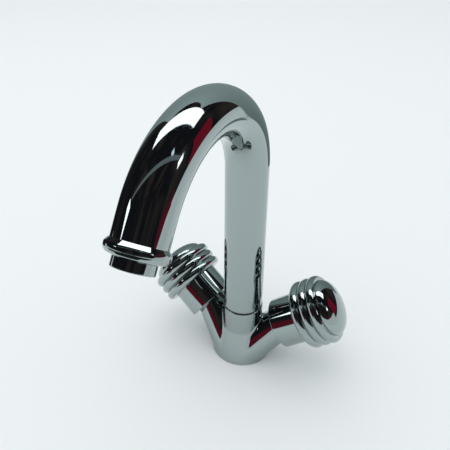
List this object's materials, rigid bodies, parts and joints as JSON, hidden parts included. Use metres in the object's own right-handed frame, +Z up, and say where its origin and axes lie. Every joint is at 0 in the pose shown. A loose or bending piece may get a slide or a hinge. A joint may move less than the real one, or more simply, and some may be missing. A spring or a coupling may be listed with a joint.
{
  "type": "basin mixer tap",
  "caption": "Deck-mounted basin mixer with a swivelling swan-neck spout and two swept-back arms with beaded, domed handles.",
  "frame": {"origin": "centre of the base face that rests on the deck", "axes": "+Z up from the deck, the spout points to -Y towards the user, the hot arm is at -X and the cold arm at +X"},
  "size_m": [0.1686, 0.1959, 0.2511],
  "materials": {
    "chrome": "polished chrome plate",
    "brass": "machined brass",
    "steel": "plain stainless steel",
    "rubber": "black sealing rubber",
    "ceramic": "lapped white ceramic",
    "black_plastic": "matt black acetal",
    "white_plastic": "matt off-white acetal"
  },
  "bodies": {
    "root": {"mixer_body": "chrome", "base_seal": "rubber", "slip_ring": "black_plastic", "nipple_o_rings": "rubber", "hot_seat_washer": "rubber", "hot_fixed_disc": "ceramic", "hot_headwork": "brass", "hot_headwork_o_ring": "rubber", "hot_shroud": "chrome", "cold_seat_washer": "rubber", "cold_fixed_disc": "ceramic", "cold_headwork": "brass", "cold_headwork_o_ring": "rubber", "cold_shroud": "chrome"},
    "spout": {"spout_foot": "chrome", "spout_lock_screw": "steel", "spout_tube": "chrome", "spout_nozzle": "chrome", "aerator_housing": "chrome", "aerator_washer": "rubber", "aerator_insert": "white_plastic", "aerator_screen": "steel"},
    "hot_handle": {"hot_handle": "chrome", "hot_handle_cap": "chrome", "hot_handle_screw": "steel", "hot_spindle": "brass", "hot_spindle_clip": "steel", "hot_spindle_o_rings": "rubber", "hot_moving_disc": "ceramic"},
    "cold_handle": {"cold_handle": "chrome", "cold_handle_cap": "chrome", "cold_handle_screw": "steel", "cold_spindle": "brass", "cold_spindle_clip": "steel", "cold_spindle_o_rings": "rubber", "cold_moving_disc": "ceramic"}
  },
  "joints": [
    {"name": "spout_swivel", "type": "hinge", "parent": "root", "child": "spout", "pos_m": [0, 0, 0.0493], "axis": [0, 0, 1], "continuous": true},
    {"name": "hot_valve", "type": "hinge", "parent": "root", "child": "hot_handle", "pos_m": [0, 0, 0.0108], "axis": [-0.8109, 0.1724, 0.5592], "range_deg": [0, 90]},
    {"name": "cold_valve", "type": "hinge", "parent": "root", "child": "cold_handle", "pos_m": [0, 0, 0.0108], "axis": [0.8109, 0.1724, 0.5592], "range_deg": [0, 90]}
  ]
}
